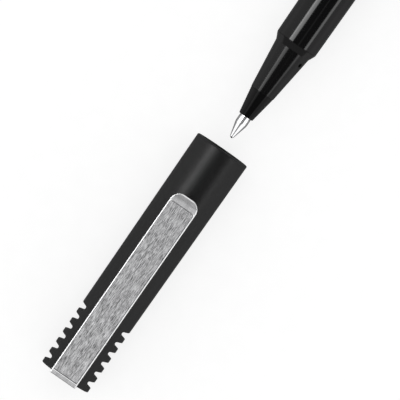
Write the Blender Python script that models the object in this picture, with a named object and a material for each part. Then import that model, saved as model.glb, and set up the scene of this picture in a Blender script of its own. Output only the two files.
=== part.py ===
# Counterfeit detector pen: a capped pen with a steel ball tip, a fibre reservoir
# for the detector ink and a pressed metal clip.
#
# Frame: metres, +Z up.  The pen lies along +X.  The origin is the centre of the
# flat end face of the tail plug, +X points towards the writing tip, and the clip
# is on the +Z side of the cap.  At rest the cap has been pulled straight off and
# waits in line in front of the tip, with its mouth just clear of the ball.
#
# Dimensions are in millimetres.  The last letter of a name says what it measures:
#   _X, _Y, _Z  place in the frame
#   _S          distance from the lip of the steel tip back towards the tail
#   _C          distance from the top of the cap's crown towards the cap's mouth
#   _R          radius
# Angles are in degrees.

import math

import bmesh
import bpy
from mathutils import Matrix, Vector

for old_object in list(bpy.data.objects):
    bpy.data.objects.remove(old_object, do_unlink=True)

MM = 0.001
MERGE_DIST = 2e-7        # metres; closes the turned pieces at the axis

# Facets round the turned pieces
SEG = 48
SEG_BODY = 24            # wider facets on the barrel and the cap, which the pen lies on
SEG_MEDIUM = 40
SEG_PLUG = 36
SEG_SMALL = 32
SEG_FEED = 24
SEG_DRILL = 20

# ---- shared fits --------------------------------------------------------------------
LIP_X = 132.5            # tail face to the lip of the steel tip
PRESS_GAP = 0.04         # radial gap of the pressed fits
BORE_GAP = 0.05          # radial gap of the looser fits
SPIGOT_CHAMFER = 0.4     # section spigot and tail plug

# ---- writing ball and steel tip -----------------------------------------------------
BALL_R = 0.35
BALL_S = 0.12
BALL_CLEAR = 0.015       # running clearance of the ball in its socket
LIP_R = 0.425
TIP_CONE_S = 3.50        # end of the steel cone
TIP_R = 1.325            # steel cylinder
TIP_FACE_S = 5.13        # where the cylinder enters the nose cone
TIP_FACE_GAP = 0.02      # between the cylinder's step and the nose cone
SHANK_R = 1.15
SHANK_S = 9.50           # rear end of the shank
SHANK_CHAMFER = 0.15
THROAT_R = 0.30
THROAT_S = 1.45          # rear end of the throat
TIP_BORE_R = 0.62
TIP_BORE_S = 1.95        # front end of the full bore

# ---- nose cone ----------------------------------------------------------------------
NOSE_FRONT_R = 1.64
NOSE_REAR_R = 2.675
NOSE_REAR_S = 11.10
NOSE_EDGE = 0.10         # chamfer of the front edge
NOSE_SPIGOT_R = 1.90
NOSE_SPIGOT_S = 17.20
NOSE_SPIGOT_CHAMFER = 0.2
NOSE_BORE_R = 1.05
SHANK_END_GAP = 0.12     # shank end to the step in the nose cone's bore

# ---- grip section -------------------------------------------------------------------
SECTION_FRONT_S = NOSE_REAR_S + 0.10
SECTION_FRONT_R = 2.735
SECTION_EDGE = 0.10      # length and depth of the front edge's chamfer
SECTION_EDGE_RISE = 0.02 # extra radius just behind that chamfer
SECTION_REAR_S = 22.10   # front edge of the collar's chamfer
SECTION_REAR_R = 4.05
COLLAR_S = 23.60         # rear edge of the collar
COLLAR_R = 4.78
BARREL_BORE_R = 3.95
SECTION_SPIGOT_R = BARREL_BORE_R - BORE_GAP
SECTION_SPIGOT_S = 33.00
CHAMBER_R = 2.60
CHAMBER_S = NOSE_SPIGOT_S + 0.3
VENT_S = 20.30
VENT_R = 0.42
VENT_ANGLE = 62.0        # from the top of the pen towards +Y
DRILL_LENGTH = 3.0
DRILL_CENTRE_R = 3.6     # middle of the drill, out from the pen's axis

# ---- barrel and tail plug -----------------------------------------------------------
SEAT_FRONT_S = COLLAR_S + 0.08
SEAT_FRONT_R = COLLAR_R - 0.02
SEAT_REAR_R = 5.11
SHOULDER_S = 54.00       # where the closed cap stops
BODY_FRONT_R = 5.65      # just behind the shoulder
BODY_EDGE = 0.25
BODY_TAIL_R = 5.42
BODY_TAIL_EDGE = 0.30
POST_X = 13.0            # front end of the posting seat at the tail
POST_R = 5.08
POST_TAPER = 0.05        # loss of radius along the posting seat
BARREL_END_X = 1.30
BARREL_END_EDGE = 0.35

FLANGE_R = 4.85
FLANGE_X = BARREL_END_X - 0.08
FLANGE_EDGE_R = 0.45     # rounding of the tail face's rim
PLUG_R = BARREL_BORE_R - BORE_GAP
PLUG_X = 8.0
PLUG_BORE_R = PLUG_R - 1.0
PLUG_FLOOR_X = 2.4

# ---- reservoir and feed rod ---------------------------------------------------------
RESERVOIR_TAIL_X = 8.6
RESERVOIR_FRONT_X = 98.0
CORE_R = 3.30
CORE_EDGE = 0.2
WRAP_R = 3.55
WRAP_INSET = 0.3         # wrap ends, short of the core's ends
FEED_R = 0.95
FEED_THIN_R = 0.55
NEEDLE_R = 0.25
FEED_TIP_S = BALL_S + BALL_R + 0.04
FEED_TIP_LENGTH = 0.10   # tapered point of the needle
FEED_TIP_DEPTH = 0.06
FEED_STEP_LAG = 0.10     # rod's front taper, behind the taper of the tip's bore
FEED_THIN_END_S = SHANK_S + 0.25
FEED_FULL_S = SHANK_S + 0.65
FEED_END_S = 38.8
FEED_END_EDGE = 0.3
FEED_HOLE_SPARE = 0.2    # hole in the core beyond the rod's end

# ---- cap shell ----------------------------------------------------------------------
CAP_LEN = 58.0
CAP_GAP = 3.0            # mouth to ball apex at rest
CROWN_X = LIP_X - BALL_S + BALL_R + CAP_GAP + CAP_LEN
CROWN_R = 5.775
CROWN_DOME = 0.30        # height of the shallow dome
CROWN_EDGE_R = 0.20      # rounding of the crown's rim
DOME_R = CROWN_R - CROWN_EDGE_R
MOUTH_R = 6.25
MOUTH_EDGE = 0.25
CROWN_BORE_R = 3.80
CROWN_FLOOR_C = 3.30     # crown end of the narrow bore
STEP_C = 16.30           # mouth end of the narrow bore
WIDE_BORE_R = 4.95
BORE_TAPER_C = 27.0      # where the wide bore starts to open out
MOUTH_BORE_R = 5.20
MOUTH_BORE_EDGE = 0.15

NOTCH_COUNT = 6
NOTCH_FIRST_C = 1.42     # first notch mouth starts here
NOTCH_PITCH = 2.50
NOTCH_MOUTH = 1.47
NOTCH_FLOOR = 1.02
NOTCH_FLOOR_Y = 4.62
NOTCH_FILLET_R = 0.26
NOTCH_CUT_Y = CROWN_R + 0.9
NOTCH_CUT_Z = 7.0        # half height of the cutters

# ---- inner cap (sealing liner) ------------------------------------------------------
LINER_R = CROWN_BORE_R - PRESS_GAP
LINER_EDGE = 0.3
LINER_BORE_R = 3.15
LINER_GAP = 0.06         # lengthwise gap to the cap's floor and step
LINER_TOP_C = CROWN_FLOOR_C + LINER_GAP
LINER_TOP_WALL = 0.35
LINER_COLLAR_R = 4.85
LINER_COLLAR_END_C = STEP_C + 1.20
LINER_TAPER_C = STEP_C + 1.8
LINER_LIP_C = 22.40
LINER_LIP_R = 4.25
LINER_LIP_EDGE = 0.25
LINER_LIP_BORE_EDGE = 0.12
LINER_LIP_LAND = 0.60    # lip bore's rear end, from the lip

# ---- crown plug ---------------------------------------------------------------------
HEAD_R = 3.30
HEAD_DEPTH = 0.90
HEAD_EDGE = 0.12         # radial width of the head's chamfer
HEAD_EDGE_DEPTH = 0.10
STEM_R = 2.60
STEM_C = 2.70
STEM_CHAMFER = 0.2
HEAD_POCKET_GAP = 0.15   # room under the head
STEM_POCKET_GAP = 0.12   # room under the stem
FLAT_GAP = 0.14          # flat on the plug, below the tang

# ---- clip ---------------------------------------------------------------------------
CLIP_HALF = 6.35 / 2     # half width of the blade
CLIP_UNDER_Z = 6.72      # underside of the blade
PANEL_Z = CLIP_UNDER_Z + 0.45        # top of the recessed panel
RIM_Z = PANEL_Z + 0.12               # top of the rims and of the plain band
RIM_WIDTH = 0.30
BAND_LENGTH = 0.95       # plain band at the bend, before the recessed panel
PANEL_CORNER_R = 0.45    # panel corners at the bend
PANEL_END_R = 1.6        # panel corners at the free end
PANEL_END_GAP = 2.3      # panel to the clip's free end
CLIP_PROUD = 0.10        # how far the bend stands in front of the crown
CLIP_BEND_R = 0.85       # outer radius of the bend
CLIP_END_C = 46.0
CLIP_END_R = 2.2         # corners of the free end, seen from above
CLIP_LIP_LENGTH = 1.8    # turned-up lip at the free end
CLIP_LIP_HEIGHT = 0.45
FLANGE_DEPTH = 0.75      # side flanges below the blade
FLANGE_THICK = 0.40
LEG_THICK = 0.45
LEG_END_Z = 4.55
TONGUE_HALF = 4.0 / 2    # half width of the tongue and the tang
TONGUE_TOP_Z = 4.80      # overlaps the leg
TONGUE_CORNER = 0.25     # bevel where the tongue turns into the tang
TANG_Z = 2.80            # underside of the tang
TANG_TOP_Z = TANG_Z + 0.42
TANG_C = 2.60
TANG_POINT_LENGTH = 0.3  # bevel under the tang's end
TANG_POINT_HEIGHT = 0.12
PIVOT_C = 0.15           # where the clip flexes
PIVOT_Z = 4.05
DIMPLE_R = 1.15
DIMPLE_SCALE = (1.5, 1.0, 0.383)
DIMPLE_C = CLIP_END_C - 4.2
DIMPLE_Z = CLIP_UNDER_Z - 0.03

# Side view of the cut that ends the flanges: distance from the free end towards
# the crown, height above the blade's underside.  The last edge follows the lip.
RELIEF_OUTLINE = [
    (-1.0, -2.0),
    (5.0, -2.0),
    (9.0, -FLANGE_DEPTH - 0.2),
    (3.2, -0.02),
    (CLIP_LIP_LENGTH, -0.02),
    (-1.0, -0.02 + CLIP_LIP_HEIGHT * (1.0 + 1.0 / CLIP_LIP_LENGTH)),
]

# Slots in the crown for the clip
SLOT_SIDE_GAP = 0.08
SLOT_END_GAP = 0.20
LEG_SLOT_TOP_Z = 7.5
LEG_SLOT_STEP_Z = 4.45   # wide above for the leg, narrow below for the tongue
LEG_SLOT_FLOOR_Z = 2.3
TANG_SLOT_BELOW = 0.25
TANG_SLOT_ABOVE = 0.36   # room above the tang for the flex


# ---- helpers ------------------------------------------------------------------------
def tip_x(s):
    """World x of a distance s behind the lip of the tip."""
    return LIP_X - s


def cap_x(c):
    """World x of a distance c below the top of the crown."""
    return CROWN_X - c


def dome_x(radius):
    """World x of the crown's domed face at a radius."""
    return cap_x(CROWN_DOME * (radius / DOME_R) ** 2)


def arc(centre_u, centre_v, radius, start, end, steps):
    """steps + 1 points on an arc, angles in degrees."""
    points = []
    for i in range(steps + 1):
        angle = math.radians(start + (end - start) * i / steps)
        points.append((centre_u + radius * math.cos(angle),
                       centre_v + radius * math.sin(angle)))
    return points


def rectangle(half_width, low, high):
    """Rectangle centred on the first coordinate."""
    return [(-half_width, low), (half_width, low), (half_width, high), (-half_width, high)]


def attach(obj, parent):
    """Parent without moving the object in the world (parents are unrotated empties)."""
    obj.parent = parent
    obj.location = Vector(obj.location) - world_location(parent)


def world_location(obj):
    total = Vector((0.0, 0.0, 0.0))
    while obj is not None:
        total += Vector(obj.location)
        obj = obj.parent
    return total


def empty(name, x, z=0.0, parent=None):
    obj = bpy.data.objects.new(name, None)
    obj.empty_display_size = 0.004
    bpy.context.scene.collection.objects.link(obj)
    obj.location = (x * MM, 0.0, z * MM)
    if parent is not None:
        attach(obj, parent)
    return obj


def finish_mesh(bm, name, mat=None, sharp_angle=None):
    """Turn a bmesh into an object; flat shaded unless a sharp angle is given."""
    bmesh.ops.recalc_face_normals(bm, faces=bm.faces)
    mesh = bpy.data.meshes.new(name)
    bm.to_mesh(mesh)
    bm.free()
    if sharp_angle is not None:
        mesh.shade_smooth()
        mesh.set_sharp_from_angle(angle=math.radians(sharp_angle))
    if mat is not None:
        mesh.materials.append(mat)
    obj = bpy.data.objects.new(name, mesh)
    bpy.context.scene.collection.objects.link(obj)
    return obj


def lathe(name, profile, mat, origin_x, segments, closed=False, parent=None):
    """Turned piece: spin an (x, radius) profile round the X axis.

    closed=True joins the last point to the first (a ring-like section);
    closed=False is for a profile that starts and ends on the axis.
    """
    bm = bmesh.new()
    half = math.pi / segments     # a flat facet, not an edge, faces straight down
    verts = [bm.verts.new(((x - origin_x) * MM,
                           radius * MM * math.sin(half),
                           radius * MM * math.cos(half)))
             for x, radius in profile]
    edges = [bm.edges.new(pair) for pair in zip(verts, verts[1:])]
    if closed:
        edges.append(bm.edges.new((verts[-1], verts[0])))
    bmesh.ops.spin(bm, geom=verts + edges, cent=(0, 0, 0), axis=(1, 0, 0),
                   angle=2 * math.pi, steps=segments, use_merge=True, use_duplicate=False)
    bmesh.ops.remove_doubles(bm, verts=bm.verts, dist=MERGE_DIST)
    obj = finish_mesh(bm, name, mat, sharp_angle=30.0)
    obj.location = (origin_x * MM, 0.0, 0.0)
    if parent is not None:
        attach(obj, parent)
    return obj


def prism(name, points, axis, low, high, mat=None):
    """Polygon in the plane across `axis`, extruded from low to high.

    axis 'Z' takes (x, y) points, axis 'Y' takes (x, z) points, axis 'X' takes (y, z).
    """
    bm = bmesh.new()
    index = 'XYZ'.index(axis)
    base = []
    for point in points:
        position = [value * MM for value in point]
        position.insert(index, low * MM)
        base.append(bm.verts.new(position))
    face = bm.faces.new(base)
    extruded = bmesh.ops.extrude_face_region(bm, geom=[face])
    moved = [item for item in extruded["geom"] if isinstance(item, bmesh.types.BMVert)]
    offset = Vector((0.0, 0.0, 0.0))
    offset[index] = (high - low) * MM
    bmesh.ops.translate(bm, verts=moved, vec=offset)
    return finish_mesh(bm, name, mat)


def boolean(target, helper, name, operation='DIFFERENCE'):
    """Add a boolean to target; the helper is hidden and shares the target's parent."""
    helper.hide_render = True
    helper.display_type = 'WIRE'
    attach(helper, target.parent)
    modifier = target.modifiers.new(name, 'BOOLEAN')
    modifier.operation = operation
    modifier.solver = 'EXACT'
    modifier.object = helper


# ---- materials ----------------------------------------------------------------------
def material(name, colour, roughness, metallic=0.0):
    mat = bpy.data.materials.new(name)
    mat.use_nodes = True
    shader = mat.node_tree.nodes["Principled BSDF"]
    shader.inputs["Base Color"].default_value = (*colour, 1.0)
    shader.inputs["Roughness"].default_value = roughness
    shader.inputs["Metallic"].default_value = metallic
    mat.diffuse_color = (*colour, 1.0)
    return mat


BARREL_MAT = material("barrel_black", colour=(0.022, 0.022, 0.023), roughness=0.16)
SECTION_MAT = material("section_black", colour=(0.020, 0.020, 0.021), roughness=0.24)
NOSE_MAT = material("nose_black", colour=(0.012, 0.012, 0.013), roughness=0.12)
STEEL_MAT = material("tip_steel", colour=(0.72, 0.72, 0.73), roughness=0.14, metallic=1.0)
BALL_MAT = material("ball_carbide", colour=(0.30, 0.30, 0.31), roughness=0.12, metallic=1.0)
CAP_MAT = material("cap_satin_black", colour=(0.030, 0.030, 0.031), roughness=0.42)
CLIP_MAT = material("clip_brushed", colour=(0.56, 0.56, 0.57), roughness=0.32, metallic=1.0)
FIBRE_MAT = material("reservoir_fibre", colour=(0.55, 0.38, 0.16), roughness=0.90)
FILM_MAT = material("reservoir_film", colour=(0.80, 0.80, 0.82), roughness=0.30)
FEED_MAT = material("feed_fibre", colour=(0.62, 0.46, 0.24), roughness=0.80)
LINER_MAT = material("liner_natural", colour=(0.70, 0.70, 0.68), roughness=0.45)
TAIL_MAT = material("tail_black", colour=(0.022, 0.022, 0.023), roughness=0.22)
CROWN_MAT = material("crown_black", colour=(0.028, 0.028, 0.029), roughness=0.38)

# ---- assembly empties ---------------------------------------------------------------
PEN = empty("pen_assembly", x=0.0)
CAP = empty("cap_assembly", x=CROWN_X)
BALL_PIVOT = empty("ball_pivot", x=tip_x(BALL_S), parent=PEN)
CLIP_PIVOT = empty("clip_pivot", x=cap_x(PIVOT_C), z=PIVOT_Z, parent=CAP)


# ---- pieces of the pen --------------------------------------------------------------
def make_ball():
    bm = bmesh.new()
    bmesh.ops.create_icosphere(bm, subdivisions=3, radius=BALL_R * MM)
    ball = finish_mesh(bm, "writing_ball", BALL_MAT, sharp_angle=60.0)
    ball.location = (tip_x(BALL_S) * MM, 0.0, 0.0)
    attach(ball, BALL_PIVOT)


def make_tip():
    socket_r = BALL_R + BALL_CLEAR
    throat_angle = 180.0 - math.degrees(math.asin(THROAT_R / socket_r))
    lip_angle = math.degrees(math.acos(BALL_S / socket_r))
    step_x = tip_x(TIP_FACE_S - TIP_FACE_GAP)
    profile = [
        # outside, lip to shank
        (tip_x(0.0), LIP_R),
        (tip_x(TIP_CONE_S), TIP_R),
        (step_x, TIP_R),
        (step_x, SHANK_R),
        (tip_x(SHANK_S - SHANK_CHAMFER), SHANK_R),
        (tip_x(SHANK_S), SHANK_R - SHANK_CHAMFER),
        # bore
        (tip_x(SHANK_S), TIP_BORE_R),
        (tip_x(TIP_BORE_S), TIP_BORE_R),
        (tip_x(THROAT_S), THROAT_R),
    ]
    # ball socket, from the throat out to the lip
    profile += arc(tip_x(BALL_S), 0.0, socket_r, throat_angle, lip_angle, 6)
    lathe("tip_housing", profile, STEEL_MAT, origin_x=tip_x(0.0), segments=SEG_SMALL,
          closed=True, parent=PEN)


def make_nose():
    profile = [
        (tip_x(TIP_FACE_S), NOSE_FRONT_R - NOSE_EDGE),
        (tip_x(TIP_FACE_S + NOSE_EDGE), NOSE_FRONT_R),
        (tip_x(NOSE_REAR_S), NOSE_REAR_R),
        (tip_x(NOSE_REAR_S), NOSE_SPIGOT_R),
        (tip_x(NOSE_SPIGOT_S - NOSE_SPIGOT_CHAMFER), NOSE_SPIGOT_R),
        (tip_x(NOSE_SPIGOT_S), NOSE_SPIGOT_R - NOSE_SPIGOT_CHAMFER),
        (tip_x(NOSE_SPIGOT_S), NOSE_BORE_R),
        (tip_x(SHANK_S + SHANK_END_GAP), NOSE_BORE_R),
        (tip_x(SHANK_S + SHANK_END_GAP), SHANK_R + PRESS_GAP),
        (tip_x(TIP_FACE_S), SHANK_R + PRESS_GAP),
    ]
    lathe("nose_cone", profile, NOSE_MAT, origin_x=tip_x(NOSE_REAR_S), segments=SEG_MEDIUM,
          closed=True, parent=PEN)


def make_vent_drill():
    """Small cylinder set radially at VENT_ANGLE."""
    bm = bmesh.new()
    bmesh.ops.create_cone(bm, cap_ends=True, segments=SEG_DRILL, radius1=VENT_R * MM,
                          radius2=VENT_R * MM, depth=DRILL_LENGTH * MM)
    bmesh.ops.translate(bm, verts=bm.verts, vec=(0, 0, DRILL_CENTRE_R * MM))
    bmesh.ops.rotate(bm, verts=bm.verts, cent=(0, 0, 0),
                     matrix=Matrix.Rotation(-math.radians(VENT_ANGLE), 3, 'X'))
    drill = finish_mesh(bm, "vent_drill")
    drill.location = (tip_x(VENT_S) * MM, 0.0, 0.0)
    return drill


def make_section():
    profile = [
        (tip_x(SECTION_FRONT_S), SECTION_FRONT_R - SECTION_EDGE),
        (tip_x(SECTION_FRONT_S + SECTION_EDGE), SECTION_FRONT_R + SECTION_EDGE_RISE),
        (tip_x(SECTION_REAR_S), SECTION_REAR_R),
        (tip_x(COLLAR_S), COLLAR_R),
        (tip_x(COLLAR_S), SECTION_SPIGOT_R),
        (tip_x(SECTION_SPIGOT_S - SPIGOT_CHAMFER), SECTION_SPIGOT_R),
        (tip_x(SECTION_SPIGOT_S), SECTION_SPIGOT_R - SPIGOT_CHAMFER),
        (tip_x(SECTION_SPIGOT_S), CHAMBER_R),
        (tip_x(CHAMBER_S), CHAMBER_R),
        (tip_x(CHAMBER_S), NOSE_SPIGOT_R + PRESS_GAP),
        (tip_x(SECTION_FRONT_S), NOSE_SPIGOT_R + PRESS_GAP),
    ]
    section = lathe("section", profile, SECTION_MAT, origin_x=tip_x(COLLAR_S), segments=SEG,
                    closed=True, parent=PEN)
    boolean(section, make_vent_drill(), "vent_hole")


def make_barrel():
    shoulder_x = tip_x(SHOULDER_S)
    post_end_r = POST_R - POST_TAPER
    profile = [
        (tip_x(SEAT_FRONT_S), SEAT_FRONT_R),
        (shoulder_x, SEAT_REAR_R),
        (shoulder_x, BODY_FRONT_R - BODY_EDGE),
        (shoulder_x - BODY_EDGE, BODY_FRONT_R),
        (POST_X + BODY_TAIL_EDGE, BODY_TAIL_R),
        (POST_X, BODY_TAIL_R - BODY_TAIL_EDGE),
        (POST_X, POST_R),
        (BARREL_END_X + BARREL_END_EDGE, post_end_r),
        (BARREL_END_X, post_end_r - BARREL_END_EDGE),
        (BARREL_END_X, BARREL_BORE_R),
        (tip_x(SEAT_FRONT_S), BARREL_BORE_R),
    ]
    lathe("barrel", profile, BARREL_MAT, origin_x=0.0, segments=SEG_BODY,
          closed=True, parent=PEN)


def make_tail_plug():
    profile = [(0.0, 0.0)]
    profile += arc(FLANGE_EDGE_R, FLANGE_R - FLANGE_EDGE_R, FLANGE_EDGE_R, 180.0, 90.0, 3)
    profile += [
        (FLANGE_X, FLANGE_R),
        (FLANGE_X, PLUG_R),
        (PLUG_X - SPIGOT_CHAMFER, PLUG_R),
        (PLUG_X, PLUG_R - SPIGOT_CHAMFER),
        (PLUG_X, PLUG_BORE_R),
        (PLUG_FLOOR_X, PLUG_BORE_R),
        (PLUG_FLOOR_X, 0.0),
    ]
    lathe("tail_plug", profile, TAIL_MAT, origin_x=0.0, segments=SEG, parent=PEN)


def make_reservoir_core():
    hole_r = FEED_R + BORE_GAP
    hole_x = tip_x(FEED_END_S) - FEED_HOLE_SPARE
    profile = [
        (RESERVOIR_TAIL_X, 0.0),
        (RESERVOIR_TAIL_X, CORE_R - CORE_EDGE),
        (RESERVOIR_TAIL_X + CORE_EDGE, CORE_R),
        (RESERVOIR_FRONT_X - CORE_EDGE, CORE_R),
        (RESERVOIR_FRONT_X, CORE_R - CORE_EDGE),
        (RESERVOIR_FRONT_X, hole_r),
        (hole_x, hole_r),
        (hole_x, 0.0),
    ]
    lathe("reservoir_core", profile, FIBRE_MAT, origin_x=RESERVOIR_TAIL_X,
          segments=SEG_SMALL, parent=PEN)


def make_reservoir_wrap():
    tail_x = RESERVOIR_TAIL_X + WRAP_INSET
    front_x = RESERVOIR_FRONT_X - WRAP_INSET
    inner_r = CORE_R + PRESS_GAP
    profile = [(tail_x, inner_r), (tail_x, WRAP_R), (front_x, WRAP_R), (front_x, inner_r)]
    lathe("reservoir_wrap", profile, FILM_MAT, origin_x=RESERVOIR_TAIL_X,
          segments=SEG_SMALL, closed=True, parent=PEN)


def make_feed_rod():
    profile = [
        (tip_x(FEED_TIP_S), 0.0),
        (tip_x(FEED_TIP_S), NEEDLE_R - FEED_TIP_DEPTH),
        (tip_x(FEED_TIP_S + FEED_TIP_LENGTH), NEEDLE_R),
        (tip_x(THROAT_S + FEED_STEP_LAG), NEEDLE_R),
        (tip_x(TIP_BORE_S + FEED_STEP_LAG), FEED_THIN_R),
        (tip_x(FEED_THIN_END_S), FEED_THIN_R),
        (tip_x(FEED_FULL_S), FEED_R),
        (tip_x(FEED_END_S - FEED_END_EDGE), FEED_R),
        (tip_x(FEED_END_S), FEED_R - FEED_END_EDGE),
        (tip_x(FEED_END_S), 0.0),
    ]
    lathe("feed_rod", profile, FEED_MAT, origin_x=tip_x(FEED_TIP_S), segments=SEG_FEED,
          parent=PEN)


# ---- cap shell ----------------------------------------------------------------------
def crown_profile():
    """Outside of the crown, from the axis out to the side: shallow dome and rounded rim."""
    radii = [DOME_R * i / 4.0 for i in range(5)]
    dome = [(dome_x(radius), radius) for radius in radii]
    rim = arc(cap_x(CROWN_DOME + CROWN_EDGE_R), DOME_R, CROWN_EDGE_R, 0.0, 90.0, 4)
    return dome + rim[1:]


def notch_outline(index, side):
    """Notch in the x-y plane, on the +Y or -Y side: leaning flanks, rounded floor corners."""
    middle_x = cap_x(NOTCH_FIRST_C + index * NOTCH_PITCH + NOTCH_MOUTH / 2.0)
    half_floor = NOTCH_FLOOR / 2.0
    lean = (NOTCH_MOUTH - NOTCH_FLOOR) / 2.0 / (CROWN_R - NOTCH_FLOOR_Y)
    lean_angle = math.degrees(math.atan(lean))
    # the corner's arc is tangent to the floor and to the leaning flank
    fillet_u = half_floor - NOTCH_FILLET_R * math.tan(math.radians(45.0 - lean_angle / 2.0))
    half = arc(fillet_u, NOTCH_FLOOR_Y + NOTCH_FILLET_R, NOTCH_FILLET_R, -90.0, -lean_angle, 4)
    half.append((half_floor + lean * (NOTCH_CUT_Y - NOTCH_FLOOR_Y), NOTCH_CUT_Y))
    points = [(middle_x + u, side * y) for u, y in half]
    points += [(middle_x - u, side * y) for u, y in reversed(half)]
    if side < 0:
        points.reverse()
    return points


def cut_notches(shell):
    for side, tag in ((1, "p"), (-1, "m")):
        for i in range(NOTCH_COUNT):
            cutter = prism(f"notch_cut_{tag}{i}", notch_outline(i, side), 'Z',
                           -NOTCH_CUT_Z, NOTCH_CUT_Z)
            boolean(shell, cutter, f"notch_{tag}{i}")


def cut_crown_pocket(shell):
    """Head recess and stem bore for the crown plug."""
    open_x = cap_x(-1.0)
    head_x = cap_x(HEAD_DEPTH + HEAD_POCKET_GAP)
    stem_x = cap_x(STEM_C + STEM_POCKET_GAP)
    profile = [
        (open_x, 0.0),
        (open_x, HEAD_R + BORE_GAP),
        (head_x, HEAD_R + BORE_GAP),
        (head_x, STEM_R + BORE_GAP),
        (stem_x, STEM_R + BORE_GAP),
        (stem_x, 0.0),
    ]
    pocket = lathe("crown_pocket_cut", profile, None, origin_x=cap_x(0.0), segments=SEG_PLUG)
    boolean(shell, pocket, "crown_pocket")


def cut_clip_slots(shell):
    """Slot for the clip's leg and tongue, then one for its tang, open at the crown."""
    wide = CLIP_HALF + SLOT_SIDE_GAP
    narrow = TONGUE_HALF + SLOT_SIDE_GAP
    plus_side = [
        (narrow, LEG_SLOT_FLOOR_Z),
        (narrow, LEG_SLOT_STEP_Z),
        (wide, LEG_SLOT_STEP_Z),
        (wide, LEG_SLOT_TOP_Z),
    ]
    outline = [(-y, z) for y, z in reversed(plus_side)] + plus_side
    leg = prism("leg_slot_cut", outline, 'X',
                cap_x(LEG_THICK - CLIP_PROUD + SLOT_END_GAP), cap_x(-1.2))
    boolean(shell, leg, "leg_slot")
    tang = prism("tang_slot_cut",
                 rectangle(narrow, TANG_Z - TANG_SLOT_BELOW, TANG_TOP_Z + TANG_SLOT_ABOVE),
                 'X', cap_x(TANG_C + SLOT_END_GAP), cap_x(-1.3))
    boolean(shell, tang, "tang_slot")


def make_cap_shell():
    profile = crown_profile() + [
        # outside taper down to the mouth
        (cap_x(CAP_LEN - MOUTH_EDGE), MOUTH_R),
        (cap_x(CAP_LEN), MOUTH_R - MOUTH_EDGE),
        # bore, mouth to crown
        (cap_x(CAP_LEN), MOUTH_BORE_R + MOUTH_BORE_EDGE),
        (cap_x(CAP_LEN - MOUTH_BORE_EDGE), MOUTH_BORE_R),
        (cap_x(BORE_TAPER_C), WIDE_BORE_R),
        (cap_x(STEP_C), WIDE_BORE_R),
        (cap_x(STEP_C), CROWN_BORE_R),
        (cap_x(CROWN_FLOOR_C), CROWN_BORE_R),
        (cap_x(CROWN_FLOOR_C), 0.0),
    ]
    shell = lathe("cap_shell", profile, CAP_MAT, origin_x=cap_x(0.0), segments=SEG_BODY,
                  parent=CAP)
    cut_notches(shell)
    cut_crown_pocket(shell)
    cut_clip_slots(shell)


# ---- inner cap and crown plug -------------------------------------------------------
def section_radius(s):
    """Radius of the grip section's taper at a distance s behind the lip."""
    slope = (SECTION_REAR_R - SECTION_FRONT_R) / (SECTION_REAR_S - SECTION_FRONT_S)
    return SECTION_FRONT_R + slope * (s - SECTION_FRONT_S)


def make_inner_cap():
    # with the cap closed, c = s + (CAP_LEN - SHOULDER_S)
    lip_bore_r = section_radius(LINER_LIP_C - (CAP_LEN - SHOULDER_S)) + BORE_GAP
    profile = [
        # outside, crown end to lip
        (cap_x(LINER_TOP_C), 0.0),
        (cap_x(LINER_TOP_C), LINER_R - LINER_EDGE),
        (cap_x(LINER_TOP_C + LINER_EDGE), LINER_R),
        (cap_x(STEP_C + LINER_GAP), LINER_R),
        (cap_x(STEP_C + LINER_GAP), LINER_COLLAR_R),
        (cap_x(LINER_COLLAR_END_C), LINER_COLLAR_R),
        (cap_x(LINER_COLLAR_END_C), LINER_LIP_R),
        (cap_x(LINER_LIP_C - LINER_LIP_EDGE), LINER_LIP_R),
        (cap_x(LINER_LIP_C), LINER_LIP_R - LINER_LIP_EDGE),
        # bore, lip to crown end
        (cap_x(LINER_LIP_C), lip_bore_r + LINER_LIP_BORE_EDGE),
        (cap_x(LINER_LIP_C - LINER_LIP_BORE_EDGE), lip_bore_r),
        (cap_x(LINER_LIP_C - LINER_LIP_LAND), lip_bore_r),
        (cap_x(LINER_TAPER_C), LINER_BORE_R),
        (cap_x(LINER_TOP_C + LINER_TOP_WALL), LINER_BORE_R),
        (cap_x(LINER_TOP_C + LINER_TOP_WALL), 0.0),
    ]
    lathe("inner_cap", profile, LINER_MAT, origin_x=cap_x(STEP_C), segments=SEG_MEDIUM,
          parent=CAP)


def make_crown_plug():
    # the head's face continues the dome of the crown
    radii = [(HEAD_R - HEAD_EDGE) * i / 3.0 for i in range(4)]
    profile = [(dome_x(radius), radius) for radius in radii]
    profile += [
        (dome_x(HEAD_R) - HEAD_EDGE_DEPTH, HEAD_R),
        (cap_x(HEAD_DEPTH), HEAD_R),
        (cap_x(HEAD_DEPTH), STEM_R),
        (cap_x(STEM_C - STEM_CHAMFER), STEM_R),
        (cap_x(STEM_C), STEM_R - STEM_CHAMFER),
        (cap_x(STEM_C), 0.0),
    ]
    plug = lathe("crown_plug", profile, CROWN_MAT, origin_x=cap_x(0.0), segments=SEG_PLUG,
                 parent=CAP)
    flat = prism("plug_flat_cut", rectangle(4.0, TANG_Z - FLAT_GAP, 5.0), 'X',
                 cap_x(2.0), cap_x(-1.0))
    boolean(plug, flat, "clip_flat")


# ---- clip ---------------------------------------------------------------------------
LEG_FACE_X = cap_x(-CLIP_PROUD)      # outer face of the leg
LEG_BACK_X = cap_x(-CLIP_PROUD + LEG_THICK)
FLANGE_Z = CLIP_UNDER_Z - FLANGE_DEPTH


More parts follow.
